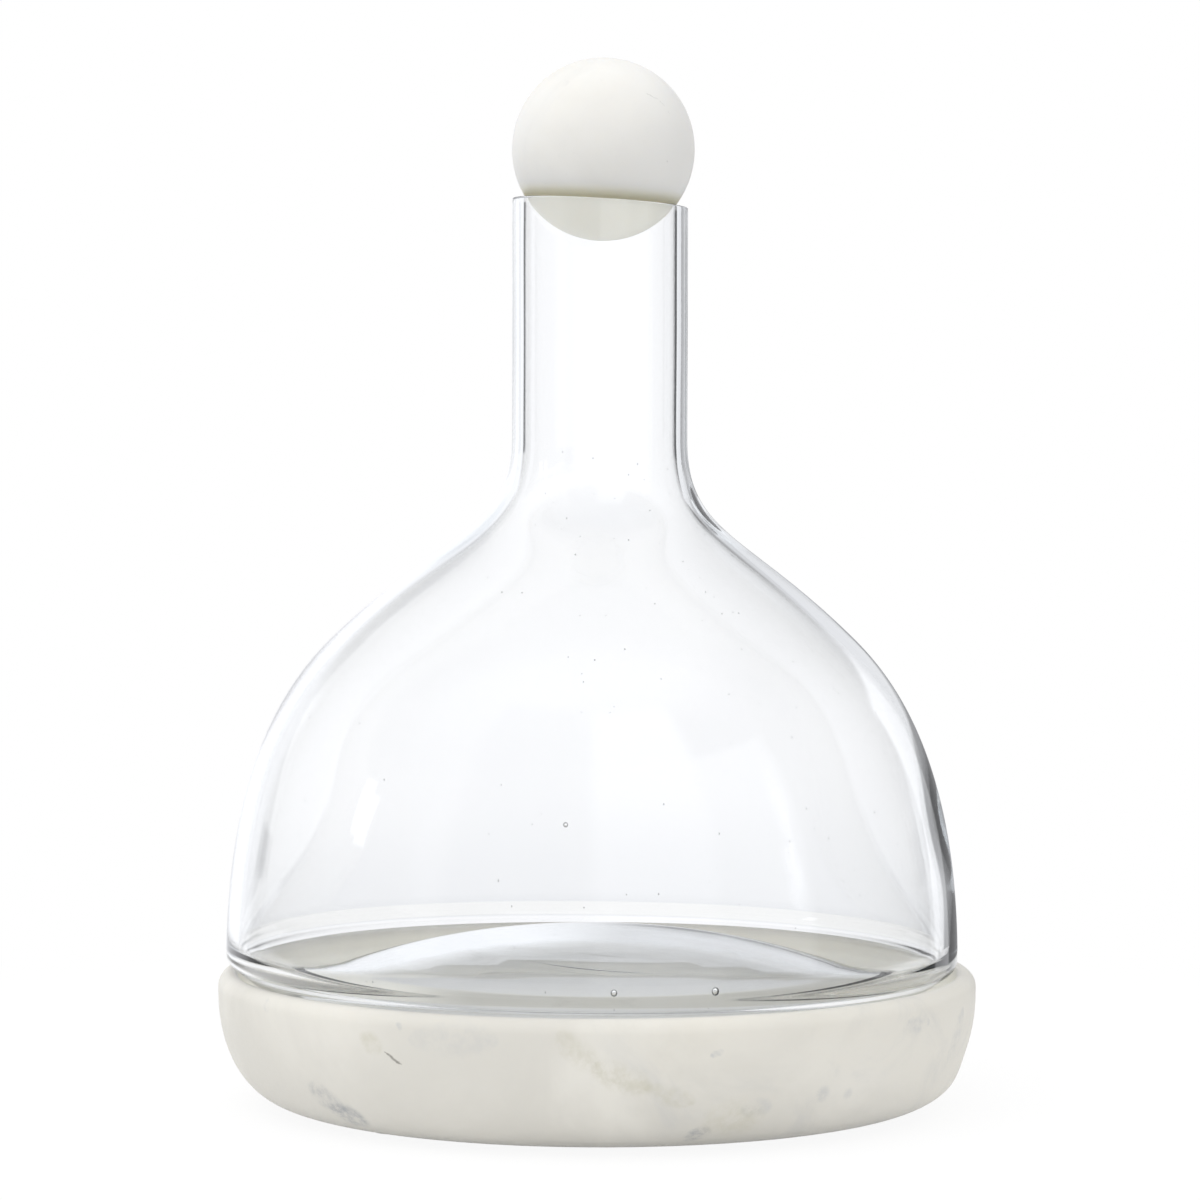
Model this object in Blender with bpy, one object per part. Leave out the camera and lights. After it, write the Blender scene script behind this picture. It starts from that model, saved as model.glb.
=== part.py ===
# A blown glass wine carafe with a marble ball as its stopper, standing in a shallow marble base.
# Metres, +Z up. The origin is on the table, under the centre of the base. The front is -Y.

import bpy
import bmesh
from math import cos, pi, radians, sin, sqrt, tan
from mathutils import Vector
from mathutils.geometry import interpolate_bezier

# Clearance between pieces that touch on the real object
seat_gap = 0.0003

# Ball stopper
ball_diameter = 0.050

# Carafe, heights measured up from the ring that it stands on
neck_radius = 0.0240
neck_wall = 0.0035
carafe_height = 0.2185
rim_round = 0.0004
rim_tilt = radians(3.2)
neck_foot_height = 0.1538
shoulder_radius = 0.0704
shoulder_height = 0.1004
shoulder_slope = radians(45)
neck_sweep = 0.0261
shoulder_sweep_up = 0.0380
shoulder_sweep_down = 0.0020
body_sweep = 0.0685
body_radius = 0.1004
body_wall = 0.0032
heel_height = 0.0105
heel_slope = radians(30)
heel_fillet = 0.0040
heel_wall = 0.0020
foot_fillet = 0.0100
foot_width = 0.0060
foot_inner_fillet = 0.0015
punt_rise = 0.0196
punt_dome_radius = 0.220
punt_thickness = 0.0046
punt_flank = 0.0060
flank_fillet = 0.0060
crease_fillet = 0.0050
inner_heel_fillet = 0.0015
neck_shift = 0.00184

# Where the carafe stands in the base, off its centre towards -X
carafe_shift = 0.0014

# Marble base
base_floor_thickness = 0.0262
lip_width = 0.0053
lip_overlap = 0.0031
lip_drop = 0.0020
lip_outer_round = 0.0039
lip_inner_round = 0.0013
lip_shoulder_drop = 0.0055
recess_fillet = 0.0045
base_edge_reach = 0.0192
base_side_sweep = 0.0180
base_under_sweep = 0.0100

# Pads under the base
pad_radius = 0.0060
pad_thickness = 0.0012
pad_count = 4
pad_margin = 0.0040

# How finely round forms are divided, and how they are joined and shaded
turn_steps = 56
ball_steps = 48
pad_steps = 24
curve_steps = 8
fillet_steps = 3
dome_steps = 5
merge_distance = 1e-7
sharp_angle = radians(35)

# Sizes that follow from the ones above
bore_radius = neck_radius - neck_wall
base_underside = pad_thickness + seat_gap
recess_floor = base_underside + base_floor_thickness
foot_level = recess_floor + seat_gap
rim_level = foot_level + carafe_height
lip_level = foot_level + heel_height - lip_drop
recess_radius = body_radius + carafe_shift - lip_overlap
base_radius = recess_radius + lip_width
flat_radius = base_radius - base_edge_reach
pad_ring_radius = flat_radius - pad_radius - pad_margin
body_axis_x = -carafe_shift
neck_axis_x = body_axis_x + neck_shift
ball_radius = ball_diameter / 2


def clear_scene():
    for thing in list(bpy.data.objects):
        bpy.data.objects.remove(thing)


def material(name, colour, roughness, transmission=0.0):
    made = bpy.data.materials.new(name)
    made.use_nodes = True
    shader = made.node_tree.nodes["Principled BSDF"]
    shader.inputs["Base Color"].default_value = (*colour, 1)
    shader.inputs["Roughness"].default_value = roughness
    shader.inputs["Metallic"].default_value = 0.0
    shader.inputs["Transmission Weight"].default_value = transmission
    return made


def finish(name, builder, surface, location=(0, 0, 0), parent=None):
    """Turns a bmesh into a smooth-shaded object of its own."""
    bmesh.ops.recalc_face_normals(builder, faces=builder.faces)
    if builder.calc_volume(signed=True) < 0:
        bmesh.ops.reverse_faces(builder, faces=builder.faces)
    mesh = bpy.data.meshes.new(name)
    builder.to_mesh(mesh)
    builder.free()
    mesh.materials.append(surface)
    mesh.shade_smooth()
    mesh.set_sharp_from_angle(angle=sharp_angle)
    made = bpy.data.objects.new(name, mesh)
    bpy.context.scene.collection.objects.link(made)
    made.location = location
    made.parent = parent
    return made


def joint_empty(name, location, parent=None):
    made = bpy.data.objects.new(name, None)
    bpy.context.scene.collection.objects.link(made)
    made.location = location
    made.parent = parent
    return made


def sweep(start, start_way, start_length, end, end_way, end_length):
    """Points of one smooth curve between two outline points, along the given ways."""
    knots = [Vector((*start, 0)),
             Vector((*start, 0)) + Vector((*start_way, 0)) * start_length,
             Vector((*end, 0)) - Vector((*end_way, 0)) * end_length,
             Vector((*end, 0))]
    return [(point.x, point.y) for point in interpolate_bezier(*knots, curve_steps + 1)]


def rounded(corners):
    """An outline through corners (radius, height, fillet), each rounded with its fillet."""
    points = []
    for index, (radius, height, fillet) in enumerate(corners):
        corner = Vector((radius, height))
        if fillet == 0:
            points.append((radius, height))
            continue
        before = (Vector(corners[index - 1][:2]) - corner).normalized()
        after = (Vector(corners[index + 1][:2]) - corner).normalized()
        half = before.angle(after) / 2
        centre = corner + (before + after).normalized() * fillet / sin(half)
        first = corner + before * fillet / tan(half) - centre
        last = corner + after * fillet / tan(half) - centre
        for step in range(fillet_steps + 1):
            spoke = first.slerp(last, step / fillet_steps).normalized()
            points.append(tuple(centre + spoke * fillet))
    return points


def inset(points, first_wall, last_wall):
    """The outline that lies one wall inside the given one, the wall changing evenly along it."""
    inner = []
    for index, point in enumerate(points):
        before = Vector(points[max(index - 1, 0)])
        after = Vector(points[min(index + 1, len(points) - 1)])
        along = (after - before).normalized()
        wall = first_wall + (last_wall - first_wall) * index / (len(points) - 1)
        inner.append((point[0] + along.y * wall, point[1] - along.x * wall))
    return inner


def dome_height(apex, radius):
    """Height of a shallow dome around the axis, by its distance from the axis."""
    return apex - punt_dome_radius + sqrt(punt_dome_radius ** 2 - radius ** 2)


def dome(apex, edge_radius):
    """Corners along the dome, from just inside its edge to the axis."""
    radii = [edge_radius * (1 - step / dome_steps) for step in range(1, dome_steps + 1)]
    return [(radius, dome_height(apex, radius), 0) for radius in radii]


def turn(outline, steps):
    """Spins an outline that starts and ends on the axis, or closes on itself, into a solid."""
    builder = bmesh.new()
    points = [builder.verts.new((radius, 0, height)) for radius, height in outline]
    edges = [builder.edges.new(pair) for pair in zip(points, points[1:])]
    bmesh.ops.spin(builder, geom=points + edges, cent=(0, 0, 0), axis=(0, 0, 1),
                   angle=2 * pi, steps=steps, use_merge=True)
    bmesh.ops.remove_doubles(builder, verts=builder.verts, dist=merge_distance)
    return builder


def outer_side():
    """The carafe's side seen from outside, from the foot of the neck to its widest ring, the heel."""
    down = (0, -1)
    slope = (sin(shoulder_slope), -cos(shoulder_slope))
    neck_foot = (neck_radius, foot_level + neck_foot_height)
    shoulder = (shoulder_radius, foot_level + shoulder_height)
    heel = (body_radius, foot_level + heel_height)
    upper = sweep(neck_foot, down, neck_sweep, shoulder, slope, shoulder_sweep_up)
    lower = sweep(shoulder, slope, shoulder_sweep_down, heel, down, body_sweep)
    return upper + lower[1:]


def crease_radius(apex, heel_line_height):
    """Where the dome inside the carafe meets the cone over its heel."""
    slope = tan(heel_slope)
    cone_tip = heel_line_height - body_radius * slope
    tip_over_centre = cone_tip - (apex - punt_dome_radius)
    squares = (1 + slope ** 2) * punt_dome_radius ** 2 - tip_over_centre ** 2
    return (sqrt(squares) - tip_over_centre * slope) / (1 + slope ** 2)


def carafe_outline():
    """The glass in section: up its inside, over the rim and down its outside."""
    side = outer_side()
    inner_side = [(radius, height, 0) for radius, height in inset(side, neck_wall, body_wall)]
    outer_side_corners = [(radius, height, 0) for radius, height in side]

    inner_apex = foot_level + punt_rise
    inner_heel_line = foot_level + heel_height + heel_wall / cos(heel_slope)
    crease = crease_radius(inner_apex, inner_heel_line)
    inner_heel = (body_radius - body_wall, inner_heel_line - body_wall * tan(heel_slope), inner_heel_fillet)
    inner_base = [inner_heel, (crease, dome_height(inner_apex, crease), crease_fillet)]
    inner_base += dome(inner_apex, crease)

    rim = [(bore_radius, foot_level + neck_foot_height, 0),
           (bore_radius, rim_level, rim_round),
           (neck_radius, rim_level, rim_round),
           (neck_radius, foot_level + neck_foot_height, 0)]

    outer_apex = inner_apex - punt_thickness
    foot_outer = body_radius - heel_height / tan(heel_slope)
    foot_inner = foot_outer - foot_width
    flank = foot_inner - punt_flank
    outer_base = [(body_radius, foot_level + heel_height, heel_fillet),
                  (foot_outer, foot_level, foot_fillet),
                  (foot_inner, foot_level, foot_inner_fillet),
                  (flank, dome_height(outer_apex, flank), flank_fillet)]
    outer_base += dome(outer_apex, flank)

    inside = rounded(inner_side[:-1] + inner_base)
    outside = rounded(outer_side_corners[1:-1] + outer_base)
    return list(reversed(inside))[:-1] + rounded(rim) + outside


def share_of_way(height, low, high):
    """How far up a height lies between two others, from 0 to 1."""
    return min(max((height - low) / (high - low), 0), 1)


def lean(point):
    """Moves a point of the turned glass to where the hand-made neck and rim have it."""
    height = point.z - foot_level
    neck_share = share_of_way(height, shoulder_height, neck_foot_height)
    tilt_share = share_of_way(height, neck_foot_height, carafe_height)
    shift = neck_shift * neck_share ** 2 * (3 - 2 * neck_share)
    rise = -point.x * tan(rim_tilt) * tilt_share ** 2
    return Vector((point.x + shift, point.y, point.z + rise))


def make_carafe(parent):
    glass = material("clear_glass", (0.93, 0.96, 0.96), 0.02, transmission=1.0)
    builder = turn(carafe_outline(), turn_steps)
    for vertex in builder.verts:
        vertex.co = lean(vertex.co)
    return finish("glass_carafe", builder, glass, parent=parent)


def ball_centre():
    """The ball rests on the rounded inner edge of the tilted rim."""
    edge_radius = bore_radius + rim_round
    reach = ball_radius + rim_round + seat_gap
    height = sqrt(reach ** 2 - edge_radius ** 2) - rim_round
    return (neck_axis_x + height * sin(rim_tilt), 0, rim_level + height * cos(rim_tilt))


def make_ball(parent):
    marble = material("ball_marble", (0.80, 0.79, 0.76), 0.45)
    builder = bmesh.new()
    bmesh.ops.create_uvsphere(builder, u_segments=ball_steps, v_segments=ball_steps // 2,
                              radius=ball_radius)
    return finish("ball_stopper", builder, marble, parent=parent)


def base_outline():
    """The marble base in section: from the recess floor over the lip to the underside."""
    lip = [(0, recess_floor, 0),
           (recess_radius, recess_floor, recess_fillet),
           (recess_radius, lip_level, lip_inner_round),
           (base_radius, lip_level, lip_outer_round),
           (base_radius, lip_level - lip_shoulder_drop, 0)]
    side = sweep((base_radius, lip_level - lip_shoulder_drop), (0, -1), base_side_sweep,
                 (flat_radius, base_underside), (-1, 0), base_under_sweep)
    return rounded(lip) + side[1:] + [(0, base_underside)]


def make_base(parent):
    marble = material("base_marble", (0.78, 0.77, 0.74), 0.45)
    return finish("marble_base", turn(base_outline(), turn_steps), marble, parent=parent)


def make_pads(parent):
    rubber = material("pad_rubber", (0.85, 0.85, 0.83), 0.6)
    for index in range(pad_count):
        angle = 2 * pi * (index + 0.5) / pad_count
        builder = bmesh.new()
        bmesh.ops.create_cone(builder, cap_ends=True, segments=pad_steps, radius1=pad_radius,
                              radius2=pad_radius, depth=pad_thickness)
        place = (pad_ring_radius * cos(angle), pad_ring_radius * sin(angle), pad_thickness / 2)
        finish(f"foot_pad_{index + 1}", builder, rubber, location=place, parent=parent)


def build():
    clear_scene()
    base_joint = joint_empty("base_frame", (0, 0, 0))
    carafe_joint = joint_empty("carafe_frame", (body_axis_x, 0, 0), base_joint)
    ball_joint = joint_empty("stopper_frame", Vector(ball_centre()) - Vector((body_axis_x, 0, 0)),
                             carafe_joint)
    make_pads(base_joint)
    make_base(base_joint)
    make_carafe(carafe_joint)
    make_ball(ball_joint)


build()
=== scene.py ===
import random
from math import cos, exp, pi, radians, sin, sqrt, tan

import bmesh
import bpy
from mathutils import Matrix, Quaternion, Vector, noise
from mathutils.geometry import interpolate_bezier


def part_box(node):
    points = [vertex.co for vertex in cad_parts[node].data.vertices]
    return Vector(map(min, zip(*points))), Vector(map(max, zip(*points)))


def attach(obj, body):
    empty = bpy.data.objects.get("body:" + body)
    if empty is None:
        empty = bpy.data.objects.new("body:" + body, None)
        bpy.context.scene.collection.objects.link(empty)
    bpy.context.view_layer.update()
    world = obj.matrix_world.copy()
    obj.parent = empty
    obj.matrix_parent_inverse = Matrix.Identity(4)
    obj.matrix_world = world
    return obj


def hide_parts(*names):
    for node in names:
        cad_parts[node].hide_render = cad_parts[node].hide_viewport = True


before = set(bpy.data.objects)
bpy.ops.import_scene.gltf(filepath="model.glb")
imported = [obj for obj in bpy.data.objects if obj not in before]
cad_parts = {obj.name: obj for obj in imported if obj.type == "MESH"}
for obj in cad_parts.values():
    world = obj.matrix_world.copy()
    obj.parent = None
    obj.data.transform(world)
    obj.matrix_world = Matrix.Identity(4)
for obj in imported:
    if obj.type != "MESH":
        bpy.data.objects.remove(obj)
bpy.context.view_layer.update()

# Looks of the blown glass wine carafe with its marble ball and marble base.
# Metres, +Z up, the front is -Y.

# Boxes of the CAD pieces at rest
glass_low, glass_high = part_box("glass_carafe")
base_low, base_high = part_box("marble_base")
ball_low, ball_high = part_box("ball_stopper")
pad_names = [name for name in sorted(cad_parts) if name.startswith("foot_pad")]

# Camera, as the photograph was taken
photo_pixels = 1200
focal_pixels = 4089
sensor_width = 36
camera_distance = 1.1222
camera_height = 0.1829
camera_side = 0.0006
aim_height = 0.13775
camera_roll = radians(0.12)

# Carafe, heights measured up from the ring that it stands on
neck_radius = 0.0240
neck_wall = 0.0035
carafe_height = 0.2185
rim_round = 0.0004
rim_tilt = radians(3.2)
neck_foot_height = 0.1538
shoulder_radius = 0.0705
shoulder_height = 0.1005
shoulder_slope = radians(46)
neck_sweep = 0.0255
shoulder_sweep_up = 0.0391
shoulder_sweep_down = 0.0121
body_sweep = 0.0602
body_radius = 0.1004
body_wall = 0.0032
heel_height = 0.0105
heel_slope = radians(36)
heel_fillet = 0.0040
heel_wall = 0.0030
foot_fillet = 0.0060
foot_width = 0.0030
foot_inner_fillet = 0.0015
punt_rise = 0.0196
punt_dome_radius = 0.220
punt_thickness = 0.0046
punt_flank = 0.0040
flank_fillet = 0.0040
crease_fillet = 0.0020
inner_heel_fillet = 0.0085
neck_shift = 0.00184

# Marble base
lip_width = 0.0053
lip_outer_round = 0.0039
lip_inner_round = 0.0013
lip_shoulder_drop = 0.0055
recess_fillet = 0.0045
base_edge_reach = 0.0192
base_side_sweep = 0.0180
base_under_sweep = 0.0100
flat_floor_share = 0.9
seat_gap = 0.0003

# Pads
pad_round = 0.0003

# How finely round forms are divided
turn_steps = 288
ball_steps = 160
pad_steps = 48
side_steps = 44
neck_steps = 36
fillet_steps = 8
dome_steps = 36
edge_steps = 10

# A point of an outline that is nearer to the axis than this lies on it
axis_reach = 1e-9

# Places that follow from the boxes and the sizes above
foot_level = glass_low.z
body_axis_x = (glass_low.x + glass_high.x) / 2
rim_level = foot_level + carafe_height
recess_floor = foot_level - seat_gap
lip_level = base_high.z
base_underside = base_low.z
base_radius = (base_high.x - base_low.x) / 2
recess_radius = base_radius - lip_width
flat_radius = base_radius - base_edge_reach
ball_centre = (ball_low + ball_high) / 2
ball_radius = (ball_high.z - ball_low.z) / 2
bore_radius = neck_radius - neck_wall


# Outlines

def sweep(start, start_way, start_length, end, end_way, end_length, steps):
    """Points of one smooth curve between two outline points, along the given ways."""
    knots = [Vector((*start, 0)),
             Vector((*start, 0)) + Vector((*start_way, 0)) * start_length,
             Vector((*end, 0)) - Vector((*end_way, 0)) * end_length,
             Vector((*end, 0))]
    return [(point.x, point.y) for point in interpolate_bezier(*knots, steps + 1)]


def straight(start, end, steps):
    """Points on the line between two outline points, both ends included."""
    first = Vector(start)
    last = Vector(end)
    return [tuple(first.lerp(last, step / steps)) for step in range(steps + 1)]


def rounded(corners):
    """An outline through corners (radius, height, fillet), each rounded with its fillet."""
    points = []
    for index, (radius, height, fillet) in enumerate(corners):
        corner = Vector((radius, height))
        if fillet == 0:
            points.append((radius, height))
            continue
        before = (Vector(corners[index - 1][:2]) - corner).normalized()
        after = (Vector(corners[index + 1][:2]) - corner).normalized()
        half = before.angle(after) / 2
        centre = corner + (before + after).normalized() * fillet / sin(half)
        first = corner + before * fillet / tan(half) - centre
        last = corner + after * fillet / tan(half) - centre
        for step in range(fillet_steps + 1):
            spoke = first.slerp(last, step / fillet_steps).normalized()
            points.append(tuple(centre + spoke * fillet))
    return points


def plain(points):
    """Outline points as corners without a fillet."""
    return [(radius, height, 0) for radius, height in points]


def clear_of(corner, points):
    """Those of the side's points that lie above the rounding of the heel's corner."""
    radius, height, fillet = corner
    rounding_top = height + fillet * tan(radians(45) - heel_slope / 2)
    return [point for point in points if point[1] > rounding_top]


def inset(points, first_wall, last_wall):
    """The outline that lies one wall inside the given one, the wall changing evenly along it."""
    inner = []
    for index, point in enumerate(points):
        before = Vector(points[max(index - 1, 0)])
        after = Vector(points[min(index + 1, len(points) - 1)])
        along = (after - before).normalized()
        wall = first_wall + (last_wall - first_wall) * index / (len(points) - 1)
        inner.append((point[0] + along.y * wall, point[1] - along.x * wall))
    return inner


def dome_height(apex, radius):
    """Height of a shallow dome around the axis, by its distance from the axis."""
    return apex - punt_dome_radius + sqrt(punt_dome_radius ** 2 - radius ** 2)


def dome(apex, edge_radius):
    """Corners along the dome, from just inside its edge to the axis."""
    radii = [edge_radius * (1 - step / dome_steps) for step in range(1, dome_steps + 1)]
    return [(radius, dome_height(apex, radius), 0) for radius in radii]


def outer_side():
    """The carafe's side seen from outside, from the foot of the neck to its heel."""
    down = (0, -1)
    slope = (sin(shoulder_slope), -cos(shoulder_slope))
    neck_foot = (neck_radius, foot_level + neck_foot_height)
    shoulder = (shoulder_radius, foot_level + shoulder_height)
    heel = (body_radius, foot_level + heel_height)
    upper = sweep(neck_foot, down, neck_sweep, shoulder, slope, shoulder_sweep_up, side_steps)
    lower = sweep(shoulder, slope, shoulder_sweep_down, heel, down, body_sweep, side_steps)
    return upper + lower[1:]


def crease_radius(apex, heel_line_height):
    """Where the dome inside the carafe meets the cone over its heel."""
    slope = tan(heel_slope)
    cone_tip = heel_line_height - body_radius * slope
    tip_over_centre = cone_tip - (apex - punt_dome_radius)
    squares = (1 + slope ** 2) * punt_dome_radius ** 2 - tip_over_centre ** 2
    return (sqrt(squares) - tip_over_centre * slope) / (1 + slope ** 2)


def inside_outline():
    """The glass seen from inside, from the axis up to the top of the bore."""
    side = inset(outer_side(), neck_wall, body_wall)
    apex = foot_level + punt_rise
    heel_line = foot_level + heel_height + heel_wall / cos(heel_slope)
    crease = crease_radius(apex, heel_line)
    heel = (body_radius - body_wall, heel_line - body_wall * tan(heel_slope), inner_heel_fillet)
    bottom = [heel, (crease, dome_height(apex, crease), crease_fillet)] + dome(apex, crease)
    bore_foot = (bore_radius, foot_level + neck_foot_height)
    bore = straight((bore_radius, rim_level - rim_round), bore_foot, neck_steps)
    corners = plain(bore) + plain(clear_of(heel, side[1:])) + bottom
    return list(reversed(rounded(corners)))


def outside_outline():
    """The glass seen from outside, from the rim down to the axis."""
    apex = foot_level + punt_rise - punt_thickness
    foot_outer = body_radius - heel_height / tan(heel_slope)
    foot_inner = foot_outer - foot_width
    flank = foot_inner - punt_flank
    bottom = [(body_radius, foot_level + heel_height, heel_fillet),
              (foot_outer, foot_level, foot_fillet),
              (foot_inner, foot_level, foot_inner_fillet),
              (flank, dome_height(apex, flank), flank_fillet)]
    neck = straight((neck_radius, rim_level - rim_round), (neck_radius, foot_level + neck_foot_height),
                    neck_steps)
    side = clear_of(bottom[0], outer_side()[1:])
    return rounded(plain(neck) + plain(side) + bottom + dome(apex, flank))


def rim_outline():
    """The top of the wall, from its inner to its outer rounding."""
    corners = [(bore_radius, rim_level - neck_wall, 0),
               (bore_radius, rim_level, rim_round),
               (neck_radius, rim_level, rim_round),
               (neck_radius, rim_level - neck_wall, 0)]
    return rounded(corners)[2:-2]


def base_outline():
    """The marble base in section: from the recess floor over the lip to the underside."""
    floor = straight((0, recess_floor), (recess_radius * flat_floor_share, recess_floor), edge_steps)
    lip = plain(floor) + [(recess_radius, recess_floor, recess_fillet),
                          (recess_radius, lip_level, lip_inner_round),
                          (base_radius, lip_level, lip_outer_round),
                          (base_radius, lip_level - lip_shoulder_drop, 0)]
    side = sweep((base_radius, lip_level - lip_shoulder_drop), (0, -1), base_side_sweep,
                 (flat_radius, base_underside), (-1, 0), base_under_sweep, side_steps)
    under = straight((flat_radius, base_underside), (0, base_underside), edge_steps)
    return rounded(lip) + side[1:] + under[1:]


# Meshes

def skin(builder, rows):
    """Faces between closed rows of vertices. A row of one vertex is a point."""
    steps = max(len(row) for row in rows)
    for near, far in zip(rows, rows[1:]):
        for turn in range(steps):
            following = turn + 1
            corners = [near[turn % len(near)], near[following % len(near)],
                       far[following % len(far)], far[turn % len(far)]]
            builder.faces.new(list(dict.fromkeys(corners)))


def turned(outline, steps, place):
    """A closed bmesh from an outline that starts and ends on the axis, each point put by place."""
    builder = bmesh.new()
    rows = []
    for index, (radius, height) in enumerate(outline):
        turns = 1 if radius < axis_reach else steps
        rows.append([builder.verts.new(place(index, radius, height, 2 * pi * turn / steps))
                     for turn in range(turns)])
    skin(builder, rows)
    if builder.calc_volume(signed=True) < 0:
        bmesh.ops.reverse_faces(builder, faces=builder.faces)
    return builder


def as_object(name, builder, surface):
    mesh = bpy.data.meshes.new(name)
    builder.to_mesh(mesh)
    builder.free()
    mesh.materials.append(surface)
    mesh.shade_smooth()
    made = bpy.data.objects.new(name, mesh)
    bpy.context.scene.collection.objects.link(made)
    return made


def on_circle(radius, height, angle):
    return Vector((radius * cos(angle), radius * sin(angle), height))


def turn_from(middle, angle):
    """The turn from one direction to another, from -pi to pi."""
    return (angle - middle + pi) % (2 * pi) - pi


def smooth_share(value, low, high):
    """How far a value lies between two others, from 0 to 1, with a soft start and end."""
    share = min(max((value - low) / (high - low), 0), 1)
    return share * share * (3 - 2 * share)


# Hand-made unevenness of the carafe: swells of the wall seen from inside, each as
# (azimuth in degrees, height over the foot, spread, how much thicker)
wall_swells = [
    (0, 0.0495, 0.012, 0.00055), (0, 0.0160, 0.010, 0.00030), (0, 0.0790, 0.014, -0.00050),
    (-6, 0.1310, 0.006, 0.00100), (186, 0.1290, 0.011, 0.00060),
    (75, 0.0600, 0.016, 0.00030), (150, 0.0850, 0.014, 0.00035), (230, 0.0700, 0.014, 0.00030)]
swell_stretch = 2.5
inner_wave = 0.00005
inner_wave_turns = 1.6
inner_wave_height = 0.03
heel_lift = 0.00035
heel_lean = 0.00075
punt_wave = 0.00001
punt_wave_length = 0.0095
punt_wave_drift = 2.4
punt_wave_slice = 4.0
outer_wave_phase = 1.7

# Where each unevenness begins and where it ends, as heights over the foot or radii (from, to)
side_begins = (heel_height * 0.6, heel_height * 1.6)
side_ends = (carafe_height - 0.012, carafe_height - 0.002)
heel_begins = (0.084, 0.094)
heel_ends = (0.012, 0.030)
punt_wave_begins = (0.004, 0.020)
punt_wave_ends = (0.060, 0.072)


def swell(angle, height):
    """How much thicker the wall is than it was drawn, at an angle and a height over the foot."""
    total = inner_wave * noise.noise(on_circle(inner_wave_turns, height / inner_wave_height, angle))
    for azimuth, centre, spread, amount in wall_swells:
        across = turn_from(radians(azimuth), angle) * body_radius / (swell_stretch * spread)
        along = (height - centre) / spread
        total += amount * exp(-across ** 2 - along ** 2)
    return total


def lean(point):
    """Moves a point of the turned glass to where the hand-made neck and rim have it."""
    height = point.z - foot_level
    shift = neck_shift * smooth_share(height, shoulder_height, neck_foot_height)
    tilt = min(max((height - neck_foot_height) / (carafe_height - neck_foot_height), 0), 1)
    rise = -point.x * tan(rim_tilt) * tilt ** 2
    return Vector((point.x + shift + body_axis_x, point.y, point.z + rise))


def blown(radius, height, angle, inside):
    """Where a point of the glass's outline lies at an angle, with the unevenness of blown glass."""
    over_foot = height - foot_level
    side_share = smooth_share(over_foot, *side_begins)
    rim_share = 1 - smooth_share(over_foot, *side_ends)
    outward = -swell(angle, over_foot) * side_share * rim_share if inside else 0
    heel_share = smooth_share(radius, *heel_begins) * (1 - smooth_share(over_foot, *heel_ends))
    heel_rise = (heel_lift - heel_lean * cos(angle)) * heel_share
    punt_share = smooth_share(radius, *punt_wave_begins) * (1 - smooth_share(radius, *punt_wave_ends))
    drift = punt_wave_drift * noise.noise(on_circle(1, punt_wave_slice, angle))
    phase = 0 if inside else outer_wave_phase
    ripple = sin(2 * pi * radius / punt_wave_length + drift + phase)
    lift = punt_wave * ripple * punt_share * (1 - side_share)
    return lean(on_circle(radius + outward, height + lift + heel_rise, angle))


def glass_outline():
    """The whole section of the glass, and how many of its points lie inside."""
    inside = inside_outline()
    rim = rim_outline()
    outside = outside_outline()
    return inside + rim + outside, len(inside)


# Seeds, the small bubbles in the glass wall. Sizes are radii, and angles run from +X.
seed_draw = 11
seed_count = 170
seed_sizes = (0.00007, 0.00021)
seed_flatness = 0.5
seed_drawn = (1.0, 1.9)
large_seed_drawn = 1.1
seed_middle = radians(-50)
seed_spread = radians(60)
seed_top = neck_foot_height * 0.98

# The large seeds that the photograph shows, as (azimuth in degrees, height over the foot, size)
named_seeds = [(-94, 0.0557, 0.00060), (-71.6, 0.0126, 0.00100), (-86.7, 0.0126, 0.00085)]

# Bubbles drawn out into curved threads in the punt, as
# (azimuth from the front in degrees and radius of the start, those of the end, half thickness)
threads = [
    (-25, 0.0405, 21, 0.0504, 0.00050),
    (-6, 0.0322, 18, 0.0372, 0.00030),
    (24, 0.0455, 34, 0.0475, 0.00012),
    (-62, 0.0380, -44, 0.0400, 0.00012)]
thread_steps = 32
thread_sides = 6


def wall_middle(side, hollow, angle, over_foot):
    """The middle of the carafe's wall at an angle and a height over the foot."""
    level = foot_level + over_foot
    index = min(range(len(side)), key=lambda place: abs(side[place][1] - level))
    outer = Vector(blown(*side[index], angle, False))
    inner = Vector(blown(*hollow[index], angle, True))
    return (outer + inner) / 2


def add_thread(builder, thread):
    """One long bubble, pointed at both ends, halfway through the glass of the punt."""
    start_azimuth, start_radius, end_azimuth, end_radius, thickness = thread
    rows = []
    for step in range(thread_steps + 1):
        share = step / thread_steps
        angle = radians(start_azimuth + (end_azimuth - start_azimuth) * share - 90)
        radius = start_radius + (end_radius - start_radius) * share
        level = dome_height(foot_level + punt_rise, radius) - punt_thickness / 2
        out = on_circle(1, 0, angle)
        row = []
        for side in range(1 if step in (0, thread_steps) else thread_sides):
            turn = 2 * pi * side / thread_sides
            around = (out * cos(turn) + Vector((0, 0, sin(turn)))) * thickness * sin(pi * share)
            row.append(builder.verts.new(lean(on_circle(radius, level, angle) + around)))
        rows.append(row)
    skin(builder, rows)


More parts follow.
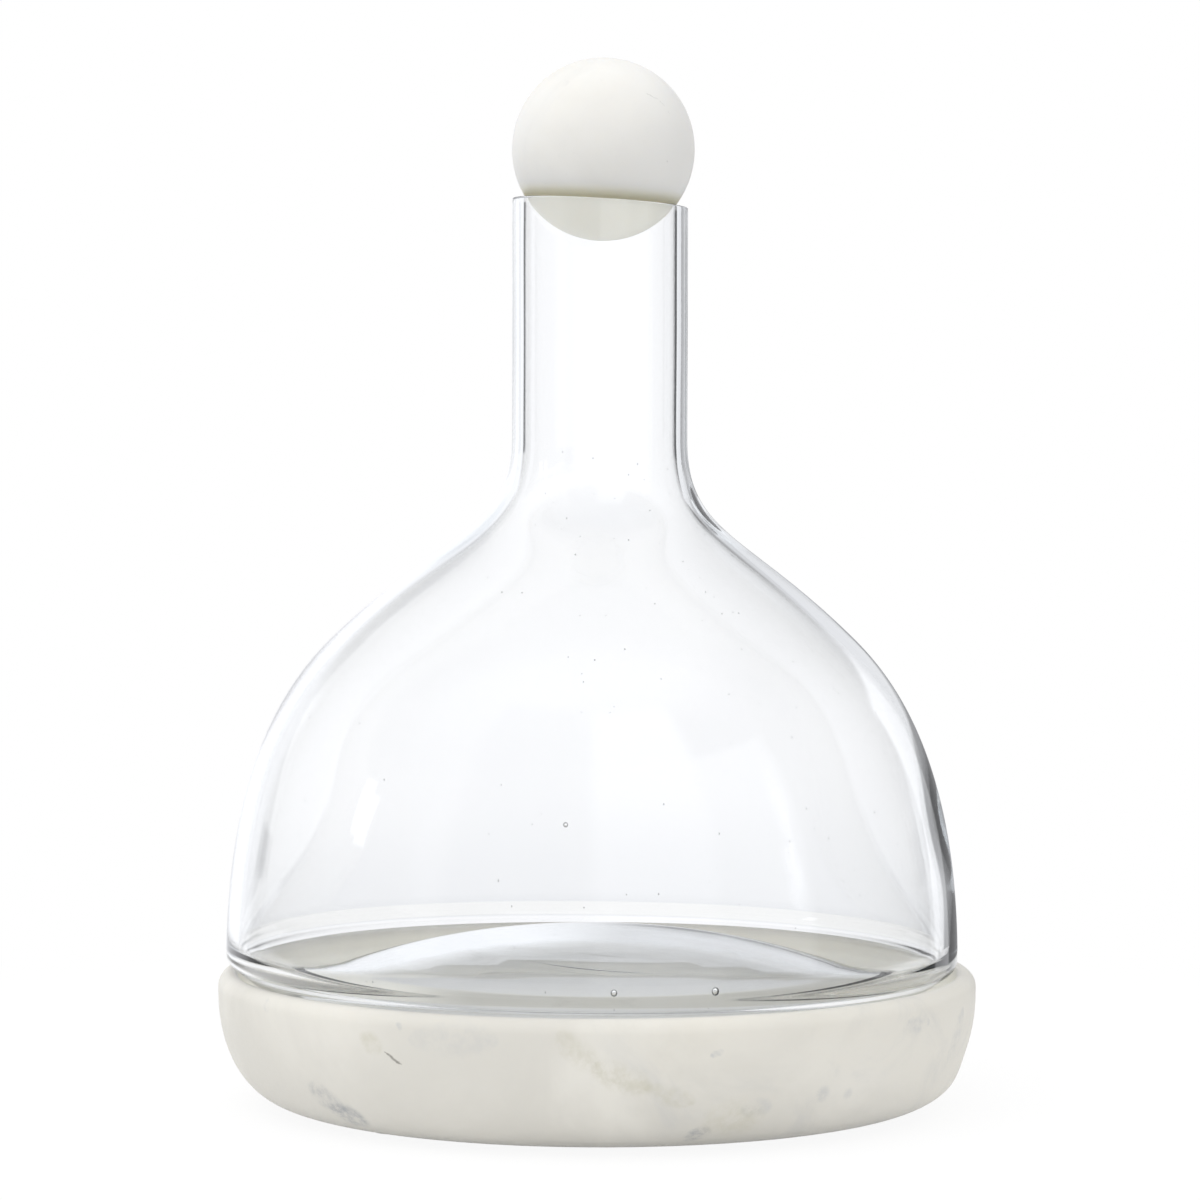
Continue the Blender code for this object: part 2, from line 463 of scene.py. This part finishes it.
def add_seeds(builder):
    """Hollows in the glass wall, their faces looking into the bubble."""
    bubbles = bmesh.new()
    chance = random.Random(seed_draw)
    side = outer_side()
    hollow = inset(side, neck_wall, body_wall)
    places = [(radians(azimuth), height, size) for azimuth, height, size in named_seeds]
    for _ in range(seed_count):
        azimuth = chance.gauss(seed_middle, seed_spread)
        height = chance.uniform(heel_height, seed_top)
        places.append((azimuth, height, chance.uniform(*seed_sizes)))
    for azimuth, height, size in places:
        large = size > seed_sizes[1]
        drawn = large_seed_drawn if large else chance.uniform(*seed_drawn)
        shape = Matrix.Rotation(azimuth, 4, "Z") @ Matrix.Diagonal((seed_flatness, 1, drawn, 1))
        spot = Matrix.Translation(wall_middle(side, hollow, azimuth, height)) @ shape
        bmesh.ops.create_icosphere(bubbles, subdivisions=2 if large else 1, radius=size, matrix=spot)
    for thread in threads:
        add_thread(bubbles, thread)
    bmesh.ops.reverse_faces(bubbles, faces=bubbles.faces)
    hollows = bpy.data.meshes.new("seeds")
    bubbles.to_mesh(hollows)
    bubbles.free()
    builder.from_mesh(hollows)
    bpy.data.meshes.remove(hollows)


def make_carafe(surface):
    outline, inside_count = glass_outline()
    builder = turned(outline, turn_steps,
                     lambda index, radius, height, angle: blown(radius, height, angle, index < inside_count))
    add_seeds(builder)
    piece = as_object("blown_carafe", builder, surface)
    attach(piece, "carafe")
    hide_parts("glass_carafe")


# How far the honed ball strays from a true one, as a share of its radius, and how closely
ball_uneven = 0.0012
ball_uneven_turns = 1.7


def make_ball(surface):
    turns = [2 * pi * step / ball_steps for step in range(ball_steps // 2 + 1)]
    arc = [(ball_radius * sin(turn), -ball_radius * cos(turn)) for turn in turns]
    arc[0] = (0, arc[0][1])
    arc[-1] = (0, arc[-1][1])

    def place(index, radius, height, angle):
        point = on_circle(radius, height, angle)
        waves = noise.noise(point / ball_radius * ball_uneven_turns)
        honed = 1 - ball_uneven * (0.5 + 0.5 * waves)
        return ball_centre + point * honed
    piece = as_object("marble_ball", turned(arc, ball_steps, place), surface)
    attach(piece, "stopper")
    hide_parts("ball_stopper")


# The base is cut fuller low down at its right, as (angle, half width, height, spread, how much)
base_fullness = (radians(-28), radians(36), 0.0060, 0.0060, 0.0022)
fullness_begins = (flat_radius * 0.9, flat_radius)
side_top = recess_floor - 0.001

# How far the turned base strays from a true one, and over what length
base_uneven = 0.00012
base_uneven_length = 0.03


def make_base(surface):
    middle, half_width, level, spread, amount = base_fullness

    def place(index, radius, height, angle):
        point = on_circle(radius, height, angle)
        fuller = 0
        if height < side_top:
            across = turn_from(middle, angle) / half_width
            along = (height - level) / spread
            fuller = amount * exp(-across ** 2 - along ** 2) * smooth_share(radius, *fullness_begins)
        waves = abs(noise.noise(point / base_uneven_length))
        uneven = base_uneven * waves * smooth_share(radius, recess_radius, base_radius)
        return on_circle(min(radius + fuller, base_radius) - uneven, height, angle)
    piece = as_object("turned_base", turned(base_outline(), turn_steps, place), surface)
    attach(piece, "base")
    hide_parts("marble_base")


def make_pads(surface):
    for name in pad_names:
        low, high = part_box(name)
        centre = (low + high) / 2
        radius = (high.x - low.x) / 2
        corners = [(0, low.z, 0), (radius, low.z, pad_round), (radius, high.z, pad_round), (0, high.z, 0)]

        def place(index, radius, height, angle):
            return Vector((centre.x, centre.y, 0)) + on_circle(radius, height, angle)
        piece = as_object(name.replace("foot_pad", "soft_pad"), turned(rounded(corners), pad_steps, place),
                          surface)
        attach(piece, "base")
        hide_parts(name)


# Materials

class Tree:
    """A node tree being written. Values that are sockets are linked, others are set."""

    def __init__(self, tree):
        self.tree = tree

    def node(self, kind, values=None, **settings):
        made = self.tree.nodes.new(kind)
        for name, value in settings.items():
            setattr(made, name, value)
        for name, value in (values or {}).items():
            self.put(made.inputs[name], value)
        return made

    def put(self, socket, value):
        if isinstance(value, bpy.types.NodeSocket):
            self.tree.links.new(value, socket)
        elif isinstance(value, tuple) and socket.type == "RGBA":
            socket.default_value = (*value, 1)
        else:
            socket.default_value = value

    def math(self, operation, first, second=0.0):
        return self.node("ShaderNodeMath", {0: first, 1: second}, operation=operation).outputs[0]

    def ramp(self, value, low, high, low_result=0.0, high_result=1.0):
        """A soft step from one result to another as the value goes from low to high."""
        values = {"Value": value, "From Min": low, "From Max": high,
                  "To Min": low_result, "To Max": high_result}
        return self.node("ShaderNodeMapRange", values, interpolation_type="SMOOTHSTEP").outputs[0]

    def mix(self, share, first, second):
        made = self.node("ShaderNodeMix", data_type="RGBA", clamp_factor=True)
        self.put(made.inputs[0], share)
        self.put(made.inputs[6], first)
        self.put(made.inputs[7], second)
        return made.outputs[2]

    def noise(self, place, scale, detail=4.0, roughness=0.5, distortion=0.0):
        values = {"Vector": place, "Scale": scale, "Detail": detail, "Roughness": roughness,
                  "Distortion": distortion}
        return self.node("ShaderNodeTexNoise", values).outputs["Fac"]

    def distance(self, place, spot):
        return self.node("ShaderNodeVectorMath", {0: place, 1: spot}, operation="DISTANCE").outputs["Value"]


def new_material(name):
    made = bpy.data.materials.new(name)
    made.use_nodes = True
    shader = made.node_tree.nodes["Principled BSDF"]
    return made, Tree(made.node_tree), shader


# Noise is written as (scale, detail, roughness, distortion), and a ramp as (from, to) with the
# results at its two ends, unless they are 0 and 1.
glass_index = 1.51
glass_tint = (0.70, 0.84, 0.93)
glass_density = 8.0
smear_noise = (14.0, 3.0)
smear_roughness = (0.55, 0.80, 0.0, 0.03)


def clear_glass():
    made, tree, shader = new_material("clear_glass")
    place = tree.node("ShaderNodeTexCoord").outputs["Object"]
    tree.put(shader.inputs["Base Color"], (1.0, 1.0, 1.0))
    tree.put(shader.inputs["Transmission Weight"], 1.0)
    tree.put(shader.inputs["IOR"], glass_index)
    smear = tree.noise(place, *smear_noise)
    tree.put(shader.inputs["Roughness"], tree.ramp(smear, *smear_roughness))
    inside = tree.node("ShaderNodeVolumeAbsorption", {"Color": glass_tint, "Density": glass_density})
    output = made.node_tree.nodes["Material Output"]
    tree.put(output.inputs["Volume"], inside.outputs[0])
    return made


# How much of a mark's width has its full strength
streak_core = 0.05


def streak(tree, place, start, end, width):
    """How much a point lies in a long spot between two ends, from 0 to 1."""
    apart = (end - start).length
    reach = 2 * (sqrt(apart ** 2 / 4 + width ** 2) - apart / 2)
    both = tree.math("ADD", tree.distance(place, start), tree.distance(place, end))
    return tree.ramp(both, apart + reach * streak_core, apart + reach, 1.0, 0.0)


# Patterns in the marble
mottle_noise = (17.0, 5.0, 0.55, 0.6)
mottle_ramp = (0.36, 0.66)
warm_noise = (13.0, 2.0)
warm_ramp = (0.50, 0.72, 0.0, 0.30)
cloud_noise = (30.0, 5.0, 0.60, 1.0)
cloud_ramp = (0.52, 0.74)
cloudy_noise = (8.0, 2.0)
cloudy_ramp = (0.48, 0.68)
cloud_strength = 0.35
mark_wobble = 0.0042
wobble_noise = {"Scale": 65.0, "Detail": 6.0, "Roughness": 0.72}
grit_noise = (260.0, 5.0, 0.7)
grit_ramp = (0.34, 0.66, 0.15, 1.25)
grain_noise = (900.0, 3.0, 0.6)
grain_ramp = (0.62, 0.80, 0.0, 0.08)
grain_bump = {"Strength": 0.12, "Distance": 0.0002}
honed_roughness = (0.3, 0.7, 0.42, 0.52)
stone_specular = 0.35
glow_radius = (1.0, 0.9, 0.75)
glow_scale = 0.006


def mottled(tree, place, pale, shade):
    """The colour of the stone: soft mottling, warm patches and faint grey clouds."""
    mottle = tree.noise(place, *mottle_noise)
    colour = tree.mix(tree.ramp(mottle, *mottle_ramp), shade, pale)
    warm = tree.noise(place, *warm_noise)
    colour = tree.mix(tree.ramp(warm, *warm_ramp), colour, warm_marble)
    cloud = tree.noise(place, *cloud_noise)
    cloudy = tree.noise(place, *cloudy_noise)
    clouds = tree.math("MULTIPLY", tree.ramp(cloud, *cloud_ramp), tree.ramp(cloudy, *cloudy_ramp))
    return tree.mix(tree.math("MULTIPLY", clouds, cloud_strength), colour, grey_marble)


def marked(tree, place, colour, marks):
    """The colour with veins and specks on it, which stray from their lines and break up."""
    wobble = tree.node("ShaderNodeTexNoise", {"Vector": place, **wobble_noise}).outputs["Color"]
    centred = tree.node("ShaderNodeVectorMath", {0: wobble, 1: (0.5, 0.5, 0.5)}, operation="SUBTRACT")
    strayed = tree.node("ShaderNodeVectorMath", {0: centred.outputs[0], 1: (mark_wobble,) * 3, 2: place},
                        operation="MULTIPLY_ADD").outputs[0]
    grit = tree.ramp(tree.noise(place, *grit_noise), *grit_ramp)
    for begin, finish, width, strength, tone in marks:
        near = streak(tree, strayed, begin, finish, width)
        share = tree.math("MULTIPLY", tree.math("MULTIPLY", near, grit), strength)
        colour = tree.mix(share, colour, tone)
    return colour


def marble(name, pale, shade, marks, shades, glow):
    """Honed marble with marks, and with the painted light and shade given in shades."""
    made, tree, shader = new_material(name)
    place = tree.node("ShaderNodeTexCoord").outputs["Object"]
    colour = marked(tree, place, mottled(tree, place, pale, shade), marks)
    # Painted light and shade, laid over the stone's own colour
    for share_of, tone in shades:
        colour = tree.mix(share_of(tree, place), colour, tone)
    grain = tree.noise(place, *grain_noise)
    colour = tree.mix(tree.ramp(grain, *grain_ramp), colour, grey_marble)
    tree.put(shader.inputs["Base Color"], colour)
    tree.put(shader.inputs["Roughness"], tree.ramp(grain, *honed_roughness))
    tree.put(shader.inputs["Specular IOR Level"], stone_specular)
    tree.put(shader.inputs["Subsurface Weight"], glow)
    tree.put(shader.inputs["Subsurface Radius"], glow_radius)
    tree.put(shader.inputs["Subsurface Scale"], glow_scale)
    bump = tree.node("ShaderNodeBump", {**grain_bump, "Height": grain})
    tree.put(shader.inputs["Normal"], bump.outputs[0])
    return made


# Tones of the marble
ball_pale = (0.75, 0.747, 0.730)
ball_shade = (0.705, 0.702, 0.685)
base_pale = (0.705, 0.689, 0.640)
base_shade = (0.620, 0.605, 0.560)
# Painted light: the recess floor lighter and warmer, as if lit by light bounced between its stone walls
recess_painted_light = (0.95, 0.93, 0.845)
warm_marble = (0.70, 0.67, 0.59)
grey_marble = (0.46, 0.47, 0.48)
dark_vein = (0.16, 0.15, 0.13)
blue_vein = (0.22, 0.24, 0.28)
olive_vein = (0.50, 0.48, 0.38)
# Painted light and shade: a warm band on the ball where it meets the rim
rim_band_painted_tone = (0.89, 0.85, 0.65)
# Painted light: the ball's cap in the neck lighter and warmer
cap_painted_light = (0.80, 0.785, 0.70)
# Painted light: the ball's right side paler
right_painted_light = (0.83, 0.827, 0.812)
# Painted shadow: a darker ring on the recess floor inside the glass foot
foot_painted_shadow = (0.45, 0.44, 0.395)
# Painted shade: the recess floor under the punt darker
punt_painted_shade = (0.71, 0.71, 0.695)

# Where the marble has painted light and shade: tones that stand for the light and shade between the pieces
# at rest, and on the ball's right side
contact_drop = sqrt(ball_radius ** 2 - bore_radius ** 2)
contact_band = 0.0042
contact_soft = 0.0008
contact_share = 0.95
cap_share = 0.9
right_painted_fade = (-0.002, 0.018, 0.0, 0.45)
foot_ring = (0.0660, 0.0765)
foot_ring_soft = 0.0085
foot_shadow_fade = (-0.058, -0.030, 0.10, 0.80)
recess_fade_top = (lip_level - 0.0040, lip_level - 0.0005, 1.0, 0.0)
recess_fade_floor = (recess_floor - 0.0020, recess_floor - 0.0010)
recess_fade_wall = (recess_radius - 0.0010, recess_radius + 0.0015, 1.0, 0.0)


def around_axis(tree, place):
    """Distance from the upright axis."""
    flat = tree.node("ShaderNodeVectorMath", {0: place, 1: (1.0, 1.0, 0.0)}, operation="MULTIPLY")
    return tree.node("ShaderNodeVectorMath", {0: flat.outputs[0]}, operation="LENGTH").outputs["Value"]


def in_recess(tree, place):
    """1 in the base's recess, 0 on the lip and outside. Through it the recess floor gets painted light."""
    height = tree.node("ShaderNodeSeparateXYZ", {0: place}).outputs["Z"]
    low = tree.math("MULTIPLY", tree.ramp(height, *recess_fade_top), tree.ramp(height, *recess_fade_floor))
    return tree.math("MULTIPLY", low, tree.ramp(around_axis(tree, place), *recess_fade_wall))


def painted_shadow_under_foot(tree, place):
    """The ring of the recess floor inside the foot of the glass, where a shadow is painted, faint at the
    left.
    """
    reach = around_axis(tree, place)
    inner, outer = foot_ring
    ring = tree.math("MULTIPLY", tree.ramp(reach, inner - foot_ring_soft, inner),
                     tree.ramp(reach, outer, outer + foot_ring_soft, 1.0, 0.0))
    across = tree.node("ShaderNodeSeparateXYZ", {0: place}).outputs["X"]
    return tree.math("MULTIPLY", tree.math("MULTIPLY", ring, in_recess(tree, place)),
                     tree.ramp(across, *foot_shadow_fade))


def painted_shade_under_punt(tree, place):
    """The part of the recess floor that lies under the punt, where shade is painted."""
    near = tree.ramp(around_axis(tree, place), foot_ring[0] - foot_ring_soft, foot_ring[0], 1.0, 0.0)
    return tree.math("MULTIPLY", near, in_recess(tree, place))


def over_rim(tree, place):
    """Height over the rim that the ball rests on, square to the tilted rim."""
    split = tree.node("ShaderNodeSeparateXYZ", {0: place})
    tilted = tree.math("MULTIPLY", split.outputs["X"], tan(rim_tilt))
    return tree.math("ADD", tree.math("ADD", split.outputs["Z"], tilted), contact_drop - ball_centre.z)


def painted_band_at_rim(tree, place):
    """The band of the ball just above the rim, which has painted warm light and shade."""
    level = over_rim(tree, place)
    above = tree.ramp(level, 0.0, contact_band, contact_share, 0.0)
    return tree.math("MULTIPLY", above, tree.ramp(level, -contact_soft, 0.0))


def painted_light_in_neck(tree, place):
    """The ball's lower cap, which hangs in the neck, with painted warm light."""
    return tree.ramp(over_rim(tree, place), -contact_soft, 0.0, cap_share, 0.0)


def painted_light_on_right(tree, place):
    """The ball's right side, painted paler as if more light fell on it."""
    across = tree.node("ShaderNodeSeparateXYZ", {0: place}).outputs["X"]
    return tree.ramp(across, *right_painted_fade)


# Rubber of the pads
rubber_dark = (0.80, 0.80, 0.77)
rubber_pale = (0.88, 0.88, 0.86)
rubber_noise = (1500.0, 3.0)
rubber_roughness = (0.3, 0.7, 0.55, 0.7)
rubber_bump = {"Strength": 0.2, "Distance": 0.0001}


def soft_rubber():
    made, tree, shader = new_material("pad_rubber")
    place = tree.node("ShaderNodeTexCoord").outputs["Object"]
    grain = tree.noise(place, *rubber_noise)
    tree.put(shader.inputs["Base Color"], tree.mix(grain, rubber_dark, rubber_pale))
    tree.put(shader.inputs["Roughness"], tree.ramp(grain, *rubber_roughness))
    bump = tree.node("ShaderNodeBump", {**rubber_bump, "Height": grain})
    tree.put(shader.inputs["Normal"], bump.outputs[0])
    return made


def on_base(azimuth, height):
    """A point on the base's side, the azimuth in degrees from the front towards +X."""
    outline = base_outline()
    top = max(range(len(outline)), key=lambda place: outline[place][1])
    side = [point for point in outline[top:] if point[0] > flat_radius]
    radius = min(side, key=lambda point: abs(point[1] - height))[0]
    return Vector((radius * sin(radians(azimuth)), -radius * cos(radians(azimuth)), height))


def on_ball(azimuth, height):
    """A point on the ball, the azimuth in degrees from the front, the height from the ball's centre."""
    reach = sqrt(ball_radius ** 2 - height ** 2)
    way = Vector((sin(radians(azimuth)), -cos(radians(azimuth)), 0))
    return ball_centre + way * reach + Vector((0, 0, height))


# Light and surroundings

def panel(tree, azimuth, elevation, centre, half_width, low, high, soft):
    """A soft-edged upright panel in the surroundings, as a share from 0 to 1. Angles in degrees."""
    offset = tree.math("SUBTRACT", azimuth, radians(centre))
    wrapped = tree.node("ShaderNodeMath", {0: offset, 1: pi, 2: -pi}, operation="WRAP")
    turn = tree.math("ABSOLUTE", wrapped.outputs[0])
    across = tree.ramp(turn, radians(half_width - soft), radians(half_width + soft), 1.0, 0.0)
    over = tree.ramp(elevation, radians(low - soft), radians(low + soft))
    under = tree.ramp(elevation, radians(high - soft), radians(high + soft), 1.0, 0.0)
    return tree.math("MULTIPLY", across, tree.math("MULTIPLY", over, under))


# What glass and honed stone mirror of the studio: upright panels around it, as
# (azimuth from +Y towards +X, half width, lowest and highest elevation, softness, brightness)
studio_panels = [
    (-22, 23, -60, 20, 4, 1.05),
    (15.5, 14.5, -60, 3, 1.5, 0.34),
    (15.5, 14.5, 4, 20, 1.5, 0.80),
    (37.5, 7.5, -60, 20, 1.5, 1.0),
    (0, 30, 27, 46, 4, 0.46),
    (49.5, 5.0, -0.5, 4, 0.8, 0.05),
    (-49.5, 3.5, -0.5, 4, 0.8, 0.08),
    (-97, 2.4, 13, 24, 0.6, 2.6),
    (126, 19, -5, 40, 1, 0.72),
    (114, 1.2, 9.5, 14, 0.6, 1.3),
    (160, 20, -60, 60, 4, 1.0),
    (208, 20, -60, 60, 3, 0.45),
]
panel_tint = (1.0, 1.01, 1.04)
studio_left = 0.65
studio_right = 0.27
studio_side_ramp = (-0.5, 0.6)
studio_top = 0.76
studio_top_ramp = (radians(48), radians(72))

# The backdrop as seen straight through the glass, low down and level
backdrop_low = (0.915, 0.925, 0.950)
backdrop_high = (1.090, 1.092, 1.110)
backdrop_ramp = (radians(-8.5), radians(-2.5))

# The light that falls on the object, by elevation and by side
sky_height_ramp = (radians(-20), radians(80), 0.80, 1.28)
sky_side_ramp = (-1.0, 1.0, 1.05, 0.91)


def mirrored_studio(tree, across, azimuth, elevation):
    """What is mirrored: a room that is brighter at the left, its ceiling and its panels."""
    colour = tree.mix(tree.ramp(across, *studio_side_ramp), (studio_left,) * 3, (studio_right,) * 3)
    colour = tree.mix(tree.ramp(elevation, *studio_top_ramp), colour, (studio_top,) * 3)
    for centre, half_width, low, high, soft, bright in studio_panels:
        share = panel(tree, azimuth, elevation, centre, half_width, low, high, soft)
        colour = tree.mix(share, colour, tuple(bright * part for part in panel_tint))
    return colour


def studio_world():
    world = bpy.data.worlds.new("studio")
    bpy.context.scene.world = world
    world.use_nodes = True
    tree = Tree(world.node_tree)
    way = tree.node("ShaderNodeTexCoord").outputs["Generated"]
    split = tree.node("ShaderNodeSeparateXYZ", {0: way})
    azimuth = tree.math("ARCTAN2", split.outputs["X"], split.outputs["Y"])
    elevation = tree.math("ARCSINE", split.outputs["Z"])
    mirrored = mirrored_studio(tree, split.outputs["X"], azimuth, elevation)
    sky = tree.math("MULTIPLY", tree.ramp(elevation, *sky_height_ramp),
                    tree.ramp(split.outputs["X"], *sky_side_ramp))
    backdrop = tree.mix(tree.ramp(elevation, *backdrop_ramp), backdrop_low, backdrop_high)

    light = tree.node("ShaderNodeLightPath")
    once_mirrored = tree.math("GREATER_THAN", light.outputs["Glossy Depth"], 0.5)
    specular = tree.math("MAXIMUM", light.outputs["Is Glossy Ray"], light.outputs["Is Transmission Ray"])
    sees_studio = tree.math("MULTIPLY", specular, once_mirrored)
    straight_on = tree.math("MULTIPLY", light.outputs["Is Transmission Ray"],
                            tree.math("SUBTRACT", 1.0, once_mirrored))
    colour = tree.mix(sees_studio, sky, mirrored)
    colour = tree.mix(straight_on, colour, backdrop)
    colour = tree.mix(light.outputs["Is Camera Ray"], colour, (1.0, 1.0, 1.0))
    background = world.node_tree.nodes["Background"]
    tree.put(background.inputs["Color"], colour)
    tree.put(background.inputs["Strength"], 1.0)


# The lamp over the object, which no glass or stone mirrors
lamp_place = (-0.5, -0.5, 1.5)
lamp_aim = (0, 0, 0.12)
lamp_size = 1.0
lamp_power = 8.0


def make_lamp():
    lamp = bpy.data.lights.new("overhead", "AREA")
    lamp.energy = lamp_power
    lamp.shape = "SQUARE"
    lamp.size = lamp_size
    made = bpy.data.objects.new("overhead", lamp)
    bpy.context.scene.collection.objects.link(made)
    made.location = lamp_place
    made.rotation_euler = (Vector(lamp_aim) - Vector(lamp_place)).to_track_quat("-Z", "Y").to_euler()
    made.visible_glossy = False
    made.visible_transmission = False


# The floor, and from which radius to which it turns white
floor_radius = 0.36
floor_steps = 96
floor_tone = (0.90, 0.90, 0.90)
floor_white_ramp = (0.20, floor_radius * 0.98, 0.92, 1.0)


def make_floor():
    """A pale round floor that keeps the object's shadow and fades into the white around it."""
    made = bpy.data.materials.new("floor")
    made.use_nodes = True
    tree = Tree(made.node_tree)
    place = tree.node("ShaderNodeTexCoord").outputs["Object"]
    out_from_centre = tree.distance(place, Vector((0, 0, 0)))
    fade = tree.ramp(out_from_centre, *floor_white_ramp)
    light = tree.node("ShaderNodeLightPath")
    looked_at = tree.math("MAXIMUM", light.outputs["Is Camera Ray"],
                          tree.math("MAXIMUM", light.outputs["Is Glossy Ray"],
                                    light.outputs["Is Transmission Ray"]))
    stone = made.node_tree.nodes["Principled BSDF"]
    tree.put(stone.inputs["Base Color"], floor_tone)
    tree.put(stone.inputs["Roughness"], 0.9)
    tree.put(stone.inputs["Specular IOR Level"], 0.0)
    glow = tree.node("ShaderNodeEmission", {"Color": (1.0, 1.0, 1.0), "Strength": 1.0})
    joined = tree.node("ShaderNodeMixShader", {0: tree.math("MULTIPLY", fade, looked_at)})
    tree.put(joined.inputs[1], stone.outputs[0])
    tree.put(joined.inputs[2], glow.outputs[0])
    tree.put(made.node_tree.nodes["Material Output"].inputs["Surface"], joined.outputs[0])
    builder = bmesh.new()
    bmesh.ops.create_circle(builder, cap_ends=True, segments=floor_steps, radius=floor_radius)
    piece = as_object("floor", builder, made)


def make_camera():
    lens = bpy.data.cameras.new("camera")
    lens.sensor_width = sensor_width
    lens.lens = focal_pixels / photo_pixels * sensor_width
    made = bpy.data.objects.new("camera", lens)
    bpy.context.scene.collection.objects.link(made)
    made.location = (camera_side, -camera_distance, camera_height)
    aim = Vector((camera_side, 0, aim_height)) - made.location
    level = aim.to_track_quat("-Z", "Y")
    made.rotation_mode = "QUATERNION"
    made.rotation_quaternion = level @ Quaternion((0, 0, 1), camera_roll)
    bpy.context.scene.camera = made


# Marks in the stone, each as (start, end, width, strength, tone)
base_marks = [
    (on_base(-5, 0.0329), on_base(0, 0.0246), 0.0046, 0.30, olive_vein),
    (on_base(0, 0.0246), on_base(7, 0.0193), 0.0049, 0.38, olive_vein),
    (on_base(7, 0.0193), on_base(14, 0.0150), 0.0035, 0.30, olive_vein),
    (on_base(-35, 0.0291), on_base(-32, 0.0273), 0.0035, 0.38, olive_vein),
    (on_base(-31.2, 0.0264), on_base(-28.5, 0.0230), 0.0005, 0.62, dark_vein),
    (on_base(-27, 0.0300), on_base(-14, 0.0310), 0.0054, 0.21, grey_marble),
    (on_base(-47, 0.0140), on_base(-42, 0.0080), 0.0054, 0.30, blue_vein),
    (on_base(-44, 0.0075), on_base(-39, 0.0062), 0.0057, 0.51, blue_vein),
    (on_base(16.0, 0.0272), on_base(17.6, 0.0284), 0.0012, 0.50, grey_marble),
    (on_base(22, 0.0128), on_base(26, 0.0132), 0.0035, 0.34, grey_marble),
    (on_base(14, 0.0050), on_base(17, 0.0071), 0.0035, 0.51, blue_vein),
    (on_base(17, 0.0080), on_base(24, 0.0110), 0.0081, 0.30, olive_vein),
    (on_base(34.5, 0.0146), on_base(35.2, 0.0150), 0.0030, 0.42, grey_marble),
    (on_base(39.5, 0.0142), on_base(40.2, 0.0146), 0.0024, 0.42, grey_marble),
    (on_base(50, 0.0290), on_base(57, 0.0296), 0.0030, 0.38, grey_marble),
    (on_base(70, 0.0300), on_base(66, 0.0180), 0.0046, 0.30, grey_marble),
    (on_base(-57, 0.0350), on_base(-56, 0.0318), 0.0019, 0.34, grey_marble),
    (on_base(-29, 0.0340), on_base(-28.5, 0.0326), 0.0011, 0.55, grey_marble),
    (on_base(118, 0.0250), on_base(126, 0.0170), 0.0046, 0.34, olive_vein),
    (on_base(171, 0.0130), on_base(163, 0.0210), 0.0054, 0.30, grey_marble),
    (on_base(-122, 0.0250), on_base(-117, 0.0275), 0.0024, 0.51, dark_vein),
]
ball_marks = [
    (on_ball(32.6, 0.0140), on_ball(43, 0.0119), 0.0003, 0.55, dark_vein),
    (on_ball(43, 0.0119), on_ball(49.5, 0.0083), 0.0003, 0.45, dark_vein),
    (on_ball(-43.9, -0.0104), on_ball(-43.5, -0.0102), 0.0006, 0.80, dark_vein),
    (on_ball(49, -0.0022), on_ball(49, -0.0030), 0.0005, 0.70, dark_vein),
    (on_ball(44, -0.0041), on_ball(44, -0.0045), 0.0004, 0.60, dark_vein),
    (on_ball(-35, 0.0162), on_ball(-31, 0.0170), 0.0014, 0.25, grey_marble),
    (on_ball(150, 0.0060), on_ball(160, 0.0090), 0.0005, 0.50, dark_vein),
    (on_ball(-140, -0.0020), on_ball(-128, 0.0050), 0.0030, 0.25, olive_vein),
]

# Where each marble piece has painted light and shade, and how much light goes into the stone
ball_painted_light_and_shade = [(painted_light_on_right, right_painted_light), (painted_light_in_neck, cap_painted_light), (painted_band_at_rim, rim_band_painted_tone)]
base_painted_light_and_shade = [(in_recess, recess_painted_light), (painted_shade_under_punt, punt_painted_shade), (painted_shadow_under_foot, foot_painted_shadow)]
ball_glow = 0.35
base_glow = 0.12

# How often light may pass or bounce on its way through the glass
glass_bounces = 24
mirror_bounces = 12

make_camera()
studio_world()
make_lamp()
make_floor()
make_carafe(clear_glass())
make_ball(marble("ball_marble", ball_pale, ball_shade, ball_marks, ball_painted_light_and_shade, ball_glow))
make_base(marble("base_marble", base_pale, base_shade, base_marks, base_painted_light_and_shade, base_glow))
make_pads(soft_rubber())

scene = bpy.context.scene
scene.view_settings.view_transform = "Standard"
scene.cycles.max_bounces = glass_bounces
scene.cycles.transmission_bounces = glass_bounces
scene.cycles.glossy_bounces = mirror_bounces
scene.cycles.blur_glossy = 0.0
